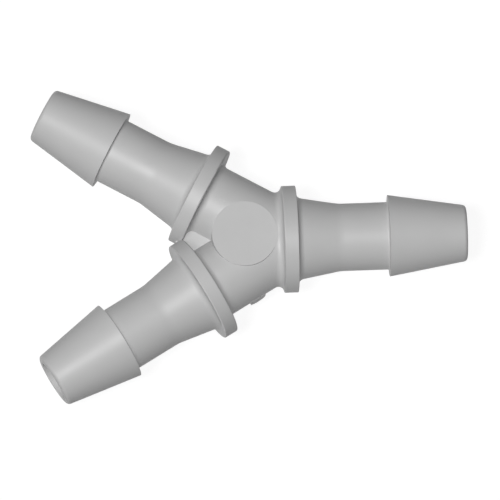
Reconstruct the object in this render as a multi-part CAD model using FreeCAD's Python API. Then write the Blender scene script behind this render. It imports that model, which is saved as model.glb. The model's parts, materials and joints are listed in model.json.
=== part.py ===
import FreeCAD, Part
import math
import os

V = FreeCAD.Vector

# All lengths are in millimetres and all angles in degrees.
# Layout of the three arms
branch_half_angle = 30.0  # each branch arm leaves the stem's line by this much
arm_len = 23.08  # from the outer face of a collar to the tip of its barb
collar_w = 1.95
stem_collar_at = -0.07  # hub-side face of the stem's collar, from the point where the axes meet
branch_collar_at = 11.82  # the same for both branches

# Bore, one size right through
bore_r = 2.8
mouth_round = 0.10

# Barb, neck and flare of an arm
barb_len = 10.59
barb_r = 5.54
nose_r = 3.78
nose_round = 0.56
step_slant = 0.05
step_root = 0.26
neck_r = 4.58
flare_r = 5.615
flare_len = 5.78
flare_blend = 5.5
flare_root = 0.92

# Collar and hub
collar_r = 7.25
collar_inner_round = 0.20
collar_outer_round = 0.11
hub_r = 5.05
hub_root = 0.80

limb_overlap = 0.3  # how far each limb runs on past the point where the axes meet

# Round flat pads on both faces of the hub
pad_back = 5.36  # from the point where the axes meet, away from the stem
pad_r = 4.44
pad_rise = 0.20  # above the ridges of the hub

# Flat web in the fork
web_t = 2.3
web_end = 14.6  # from the point where the axes meet
web_end_half = 0.5  # half the width of its end, which lies inside the two collars

# Small flat tab where the plastic was fed in, on the outer side of one branch. It reaches
# down from the plane of the axes, where the two halves of the mould part, to a round end.
gate_at = 7.13
gate_r = 1.17
gate_below = 1.53  # from the parting plane to the middle of the round end
gate_rise = 0.03  # of its flat face above the hub's widest line

# Values that follow from the ones above
half = math.radians(branch_half_angle)
stem_tip = stem_collar_at + collar_w + arm_len
branch_tip = branch_collar_at + collar_w + arm_len


def rounded_face(corners):
    """A flat face whose outline runs through corners of (x, y, rounding)."""
    spots = []
    count = len(corners)
    for i in range(count):
        here = V(corners[i][0], corners[i][1], 0)
        rounding = corners[i][2]
        if rounding == 0:
            spots.append((here, None, here))
            continue
        back = V(corners[i - 1][0], corners[i - 1][1], 0) - here
        ahead = V(corners[(i + 1) % count][0], corners[(i + 1) % count][1], 0) - here
        back.normalize()
        ahead.normalize()
        half_corner = back.getAngle(ahead) / 2
        cut = rounding / math.tan(half_corner)
        inward = back + ahead
        inward.normalize()
        centre = here + inward * (rounding / math.sin(half_corner))
        spots.append((here + back * cut, centre - inward * rounding, here + ahead * cut))
    edges = []
    for i in range(count):
        start, middle, end = spots[i]
        if middle is not None:
            edges.append(Part.Arc(start, middle, end).toShape())
        following = spots[(i + 1) % count][0]
        edges.append(Part.makeLine(end, following))
    return Part.Face(Part.Wire(edges))


def revolved(corners):
    """Turn an outline of (along, out, rounding) once around the X axis."""
    return rounded_face(corners).revolve(V(0, 0, 0), V(1, 0, 0), 360)


def arm(collar_at, with_hub):
    """Collar, flare, neck and barb along +X, with the hub's own limb behind the collar if asked."""
    outer_face = collar_at + collar_w
    tip = outer_face + arm_len
    barb_back = tip - barb_len
    if with_hub:
        start = [(0, 0, 0), (0, hub_r, 0), (collar_at, hub_r, hub_root)]
    else:
        start = [(collar_at, 0, 0)]
    return revolved(
        start
        + [
            (collar_at, collar_r, collar_inner_round),
            (outer_face, collar_r, collar_outer_round),
            (outer_face, flare_r, flare_root),
            (outer_face + flare_len, neck_r, flare_blend),
            (barb_back - step_slant, neck_r, step_root),
            (barb_back, barb_r, 0),
            (tip, nose_r, nose_round),
            (tip, 0, 0),
        ]
    )


def turned(shape, angle):
    """A copy of the shape turned about the Z axis through the meeting point."""
    copy = shape.copy()
    copy.rotate(V(0, 0, 0), V(0, 0, 1), angle)
    return copy


def bore_core(tip):
    """The core that leaves a bore along +X, widened at its mouth by a small rounding."""
    beyond = tip + 1.0
    return revolved(
        [
            (0, 0, 0),
            (0, bore_r, 0),
            (tip - mouth_round, bore_r, 0),
            (tip, bore_r + mouth_round, 0),
            (beyond, bore_r + mouth_round, 0),
            (beyond, 0, 0),
        ]
    )


angles = [180.0 - branch_half_angle, 180.0 + branch_half_angle]

# Hub: two limbs that run into the stem's collar, with a rounding where they meet its face
limb = Part.makeCylinder(
    hub_r, branch_collar_at + limb_overlap, V(-limb_overlap, 0, 0), V(1, 0, 0)
)
hub = arm(stem_collar_at, False).fuse(turned(limb, angles[0])).fuse(turned(limb, angles[1]))
hub = hub.removeSplitter()
root_edges = []
for edge in hub.Edges:
    box = edge.BoundBox
    on_face = abs(box.XMin - stem_collar_at) < 1e-4 and box.XLength < 1e-4
    if on_face and box.YLength < 2 * (collar_r - collar_inner_round) - 0.1:
        root_edges.append(edge)
hub = hub.makeFillet(hub_root, root_edges)

# Pads, web and gate tab
pad_top = hub_r + pad_rise
pads = Part.makeCylinder(pad_r, 2 * pad_top, V(-pad_back, 0, -pad_top))
collar_middle = branch_collar_at + collar_w / 2
web_corners = [
    (0, 0, 0),
    (-collar_middle * math.cos(half), collar_middle * math.sin(half), 0),
    (-web_end, web_end_half, 0),
    (-web_end, -web_end_half, 0),
    (-collar_middle * math.cos(half), -collar_middle * math.sin(half), 0),
]
web = rounded_face(web_corners).extrude(V(0, 0, web_t))
web.translate(V(0, 0, -web_t / 2))
gate_height = hub_r + gate_rise - bore_r
gate = Part.makeCylinder(gate_r, gate_height, V(gate_at, bore_r, -gate_below), V(0, 1, 0))
gate_sides = Part.makeBox(
    2 * gate_r, gate_height, gate_below, V(gate_at - gate_r, bore_r, -gate_below)
)
gate = turned(gate.fuse(gate_sides), angles[1])

# One moulded body, then its three bores
body = turned(arm(branch_collar_at, True), angles[0])
body = body.fuse(turned(arm(branch_collar_at, True), angles[1]))
body = body.fuse(hub).fuse(pads).fuse(web).fuse(gate)
for tip, angle in ((stem_tip, 0.0), (branch_tip, angles[0]), (branch_tip, angles[1])):
    body = body.cut(turned(bore_core(tip), angle))
body = body.removeSplitter()

os.makedirs("parts", exist_ok=True)
body.exportStep("parts/connector_body.step")
box = body.BoundBox
print("solids", len(body.Solids), "valid", body.isValid(), "faces", len(body.Faces))
print("volume_mm3", round(body.Volume, 1))
print("box", [round(v, 3) for v in (box.XMin, box.YMin, box.ZMin, box.XMax, box.YMax, box.ZMax)])
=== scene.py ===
import json
import math

import bpy
from mathutils import Matrix, Vector


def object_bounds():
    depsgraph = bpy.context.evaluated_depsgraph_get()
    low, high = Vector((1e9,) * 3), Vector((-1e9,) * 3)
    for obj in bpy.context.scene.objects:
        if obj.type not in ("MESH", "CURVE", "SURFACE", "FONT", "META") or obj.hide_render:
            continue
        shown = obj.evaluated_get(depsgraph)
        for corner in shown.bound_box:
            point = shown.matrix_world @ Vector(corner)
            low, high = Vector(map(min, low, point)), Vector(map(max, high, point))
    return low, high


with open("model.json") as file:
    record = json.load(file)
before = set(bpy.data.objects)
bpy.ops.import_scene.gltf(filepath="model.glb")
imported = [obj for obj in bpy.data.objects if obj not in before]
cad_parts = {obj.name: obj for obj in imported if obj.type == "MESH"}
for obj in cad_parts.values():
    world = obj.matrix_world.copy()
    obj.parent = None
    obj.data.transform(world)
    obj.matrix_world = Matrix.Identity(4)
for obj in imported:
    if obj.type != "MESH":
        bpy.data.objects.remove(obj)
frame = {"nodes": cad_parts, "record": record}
cad_low, cad_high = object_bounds()

# Lengths are in metres and angles in radians, unless a comment says otherwise.
# Camera: its turn against the part's frame, and the point in the middle of the picture
TILT = -0.195
LEAN = 0.035
ROLL = 0.0427
LOOK_AT = Vector((-0.004504, -0.001211, -0.000433))
SEEN_WIDTH = 0.06781  # at the point looked at
LENS = 1000.0  # in millimetres, long enough to show no perspective
SENSOR = 36.0  # in millimetres
CLIP_NEAR = 0.01
CLIP_FAR = 20.0

# Key light: two suns that shine the same way, of which one casts shadows
KEY_ASIDE = -0.25  # from the camera's own direction, per unit towards it, and so to its left
KEY_ABOVE = -0.016  # the same upwards, and so a little below it
KEY_STRENGTH = 2.81  # of both suns together
KEY_SHADOWED = 0.2  # the share of the strength that casts shadows
KEY_ANGLE = math.radians(14)
KEY_DISTANCE = 0.5

# Surroundings
WHITE = (1, 1, 1, 1)
SKY_LEVEL = 0.06
FLOOR_REACH = 1.2  # from the origin to each side
FLOOR_SHADE = 0.12  # what the floor gives back to the part
FLOOR_SHADOW_SHARE = 0.55  # how much of the floor's look comes from the light that falls on it
FLOOR_LIT = 0.9  # how bright a white floor would be in that light
FLOOR_LOOK = 1.03  # how bright the floor looks outside the shadow, just past white

# Plastic, with faint clouds in its colour and gloss and a fine skin
PLASTIC_SHADE = 0.50
SHADE_CHANGE = 0.015  # as a share of the shade, either way
PLASTIC_ROUGHNESS = 0.47
ROUGHNESS_CHANGE = 0.03  # either way
PLASTIC_SPECULAR = 0.46
CLOUD_SCALE = 260.0  # clouds of about 4 mm
CLOUD_DETAIL = 4.0
CLOUD_SPAN = (0.3, 0.7)  # the noise's values at which a change is full, one way and the other
SKIN_SCALE = 5200.0  # grains of about 0.2 mm
SKIN_DETAIL = 3.0
SKIN_STRENGTH = 0.12
SKIN_RISE = 0.00002

# Fine line in the plane of the axes, where the halves of the mould met
PARTING_STRENGTH = 0.4
PARTING_RISE = 0.00003
PARTING_HALF_WIDTH = 0.00012
BORE_MARGIN = 0.0003  # past a bore's wall, within which no line or dip is drawn

# Shallow dip along the line where each arm's surface closes on itself. The facets' normals
# break there, and the dip evens out the shading.
SEAM_STARTS = [0.0, 0.0045, 0.0045]  # from the point where the axes meet, in the bores' order
SEAM_STRENGTH = 1.0
SEAM_DIP = 0.000027
SEAM_HALF_WIDTH = 0.00075

# Values that follow from the frame
bores = [mount for mount in frame["record"]["mounts"] if mount["kind"] == "bore"]
bore_clear = bores[0]["dims"]["r_mm"] / 1000 + BORE_MARGIN  # from a bore's axis, alike for all
NORMAL = Vector((0, 0, 1))  # of the plane of the axes
PAST_ALL = 1.0  # a distance that no point of the part reaches


def turned_axes():
    """Right, up and backwards of the camera, as the rows of a matrix."""
    about_x = Matrix.Rotation(TILT, 3, "X")
    about_y = Matrix.Rotation(LEAN, 3, "Y")
    about_z = Matrix.Rotation(ROLL, 3, "Z")
    return about_x @ about_y @ about_z


def pointing(direction):
    """A rotation whose local -Z points along a direction."""
    return direction.to_track_quat("-Z", "Y").to_matrix().to_4x4()


def add_camera(axes):
    data = bpy.data.cameras.new("camera")
    data.sensor_width = SENSOR
    data.lens = LENS
    data.clip_start = CLIP_NEAR
    data.clip_end = CLIP_FAR
    camera = bpy.data.objects.new("camera", data)
    bpy.context.scene.collection.objects.link(camera)
    place = LOOK_AT + axes[2] * SEEN_WIDTH * LENS / SENSOR
    camera.matrix_world = Matrix.Translation(place) @ axes.transposed().to_4x4()
    bpy.context.scene.camera = camera


def add_sun(name, strength, casts_shadow, towards):
    """A lamp that shines on the part from the direction towards it."""
    data = bpy.data.lights.new(name, "SUN")
    data.energy = strength
    data.angle = KEY_ANGLE
    data.use_shadow = casts_shadow
    lamp = bpy.data.objects.new(name, data)
    bpy.context.scene.collection.objects.link(lamp)
    place = LOOK_AT + towards * KEY_DISTANCE
    lamp.matrix_world = Matrix.Translation(place) @ pointing(-towards)


def add_key(axes):
    towards = axes[0] * KEY_ASIDE + axes[1] * KEY_ABOVE + axes[2]
    towards.normalize()
    add_sun("key", KEY_STRENGTH * KEY_SHADOWED, True, towards)
    add_sun("key_soft", KEY_STRENGTH * (1 - KEY_SHADOWED), False, towards)


def worked_out(nodes, links, operation, *values):
    """A Math node on sockets and numbers."""
    node = nodes.new("ShaderNodeMath")
    node.operation = operation
    for spot, value in zip(node.inputs, values):
        if isinstance(value, float):
            spot.default_value = value
        else:
            links.new(value, spot)
    return node.outputs[0]


def along(nodes, links, point, direction):
    """How far a point lies along a direction."""
    node = nodes.new("ShaderNodeVectorMath")
    node.operation = "DOT_PRODUCT"
    links.new(point, node.inputs[0])
    node.inputs[1].default_value = direction
    return node.outputs["Value"]


def mapped(nodes, links, value, before, after, curve="LINEAR"):
    """A value carried from one range over to another, and held at its ends."""
    node = nodes.new("ShaderNodeMapRange")
    node.interpolation_type = curve
    node.inputs["From Min"].default_value = before[0]
    node.inputs["From Max"].default_value = before[1]
    node.inputs["To Min"].default_value = after[0]
    node.inputs["To Max"].default_value = after[1]
    links.new(value, node.inputs["Value"])
    return node.outputs[0]


def noise(nodes, links, point, scale, detail):
    node = nodes.new("ShaderNodeTexNoise")
    node.inputs["Scale"].default_value = scale
    node.inputs["Detail"].default_value = detail
    links.new(point, node.inputs["Vector"])
    return node.outputs[0]


def bumped(nodes, links, height, strength, rise, normal=None):
    """A normal tilted by a height, on top of an earlier normal if there is one."""
    node = nodes.new("ShaderNodeBump")
    node.inputs["Strength"].default_value = strength
    node.inputs["Distance"].default_value = rise
    links.new(height, node.inputs["Height"])
    if normal is not None:
        links.new(normal, node.inputs["Normal"])
    return node.outputs[0]


def shown(nodes, links, plain, white, output):
    """Give an output one look for rays that should see the white background, and one for the rest."""
    path = nodes.new("ShaderNodeLightPath").outputs
    seen = worked_out(nodes, links, "MAXIMUM", path["Is Camera Ray"], path["Is Glossy Ray"])
    seen = worked_out(nodes, links, "MAXIMUM", seen, path["Is Transmission Ray"])
    mix = nodes.new("ShaderNodeMixShader")
    links.new(seen, mix.inputs[0])
    links.new(plain, mix.inputs[1])
    links.new(white, mix.inputs[2])
    links.new(mix.outputs[0], nodes.new(output).inputs["Surface"])


def background(nodes, level):
    """White surroundings of one strength."""
    node = nodes.new("ShaderNodeBackground")
    node.inputs["Color"].default_value = WHITE
    node.inputs["Strength"].default_value = level
    return node.outputs[0]


def add_world():
    """Surroundings that look white and give the part a little light."""
    world = bpy.data.worlds.new("studio")
    world.use_nodes = True
    bpy.context.scene.world = world
    nodes, links = world.node_tree.nodes, world.node_tree.links
    nodes.clear()
    sky = background(nodes, SKY_LEVEL)
    white = background(nodes, 1.0)
    shown(nodes, links, sky, white, "ShaderNodeOutputWorld")


def matt(nodes, shade):
    """A matt grey."""
    node = nodes.new("ShaderNodeBsdfDiffuse")
    node.inputs["Color"].default_value = (shade, shade, shade, 1)
    return node.outputs[0]


def floor_material():
    """Pale floor: white to the camera, a little darker in the part's shadow."""
    material = bpy.data.materials.new("floor")
    material.use_nodes = True
    nodes, links = material.node_tree.nodes, material.node_tree.links
    nodes.clear()
    glow = nodes.new("ShaderNodeEmission")
    glow.inputs["Color"].default_value = WHITE
    glow.inputs["Strength"].default_value = FLOOR_LOOK - FLOOR_SHADOW_SHARE * FLOOR_LIT
    pale = nodes.new("ShaderNodeAddShader")
    links.new(matt(nodes, FLOOR_SHADOW_SHARE), pale.inputs[0])
    links.new(glow.outputs[0], pale.inputs[1])
    plain = matt(nodes, FLOOR_SHADE)
    shown(nodes, links, plain, pale.outputs[0], "ShaderNodeOutputMaterial")
    return material


def add_floor():
    """A square floor at the part's lowest point."""
    corners = []
    for x, y in ((-1, -1), (1, -1), (1, 1), (-1, 1)):
        corners.append((x * FLOOR_REACH, y * FLOOR_REACH, cad_low.z))
    mesh = bpy.data.meshes.new("floor")
    mesh.from_pydata(corners, [], [(0, 1, 2, 3)])
    mesh.materials.append(floor_material())
    floor = bpy.data.objects.new("floor", mesh)
    bpy.context.scene.collection.objects.link(floor)


def off_plane(nodes, links, point):
    """How far a point lies from the plane of the axes."""
    return worked_out(nodes, links, "ABSOLUTE", along(nodes, links, point, NORMAL))


def parting_height(nodes, links, point):
    """1 on the fine line where the mould's halves met, on the outside only, and 0 elsewhere."""
    nearest = PAST_ALL
    for bore in bores:
        out = Vector(bore["axis"])
        side = NORMAL.cross(out)
        beside = worked_out(nodes, links, "ABSOLUTE", along(nodes, links, point, side))
        behind = along(nodes, links, point, -out)
        distance = worked_out(nodes, links, "MAXIMUM", beside, behind)
        nearest = worked_out(nodes, links, "MINIMUM", distance, nearest)
    outside = worked_out(nodes, links, "GREATER_THAN", nearest, bore_clear)
    height = off_plane(nodes, links, point)
    ridge = mapped(nodes, links, height, (0, PARTING_HALF_WIDTH), (1, 0), "SMOOTHSTEP")
    return worked_out(nodes, links, "MULTIPLY", ridge, outside)


def seam_dip(nodes, links, point):
    """From -1 on the line where each arm's surface closes on itself to 0 beside it."""
    on_seam = 0.0
    for bore, start in zip(bores, SEAM_STARTS):
        out = Vector(bore["axis"])
        side = NORMAL.cross(out)
        ahead = along(nodes, links, point, out)
        aside = along(nodes, links, point, side)
        past = worked_out(nodes, links, "GREATER_THAN", ahead, start)
        outer = worked_out(nodes, links, "GREATER_THAN", aside, bore_clear)
        both = worked_out(nodes, links, "MULTIPLY", past, outer)
        on_seam = worked_out(nodes, links, "MAXIMUM", both, on_seam)
    height = off_plane(nodes, links, point)
    near = mapped(nodes, links, height, (0, SEAM_HALF_WIDTH), (1, 0))
    curve = worked_out(nodes, links, "MULTIPLY", near, near)
    down = worked_out(nodes, links, "MULTIPLY", curve, -1.0)
    return worked_out(nodes, links, "MULTIPLY", down, on_seam)


def plastic():
    """Grey injection moulded plastic: faint clouding, a fine skin and soft gloss."""
    material = bpy.data.materials.new("moulded_plastic")
    material.use_nodes = True
    nodes, links = material.node_tree.nodes, material.node_tree.links
    shader = nodes["Principled BSDF"].inputs
    point = nodes.new("ShaderNodeTexCoord").outputs["Object"]

    # Clouding of the colour and the gloss
    cloud = noise(nodes, links, point, CLOUD_SCALE, CLOUD_DETAIL)
    shades = (PLASTIC_SHADE * (1 - SHADE_CHANGE), PLASTIC_SHADE * (1 + SHADE_CHANGE))
    links.new(mapped(nodes, links, cloud, CLOUD_SPAN, shades), shader["Base Color"])
    gloss = (PLASTIC_ROUGHNESS - ROUGHNESS_CHANGE, PLASTIC_ROUGHNESS + ROUGHNESS_CHANGE)
    links.new(mapped(nodes, links, cloud, CLOUD_SPAN, gloss), shader["Roughness"])
    shader["Specular IOR Level"].default_value = PLASTIC_SPECULAR

    # Skin of the moulding, the parting line on it, and the dip along each seam
    skin = noise(nodes, links, point, SKIN_SCALE, SKIN_DETAIL)
    normal = bumped(nodes, links, skin, SKIN_STRENGTH, SKIN_RISE)
    line = parting_height(nodes, links, point)
    normal = bumped(nodes, links, line, PARTING_STRENGTH, PARTING_RISE, normal)
    dip = seam_dip(nodes, links, point)
    normal = bumped(nodes, links, dip, SEAM_STRENGTH, SEAM_DIP, normal)
    links.new(normal, shader["Normal"])
    return material


camera_axes = turned_axes()
add_camera(camera_axes)
add_key(camera_axes)
add_world()
add_floor()
finish_material = plastic()
for slot in frame["nodes"]["connector_body"].material_slots:
    slot.material = finish_material

bpy.context.scene.view_settings.view_transform = "Standard"
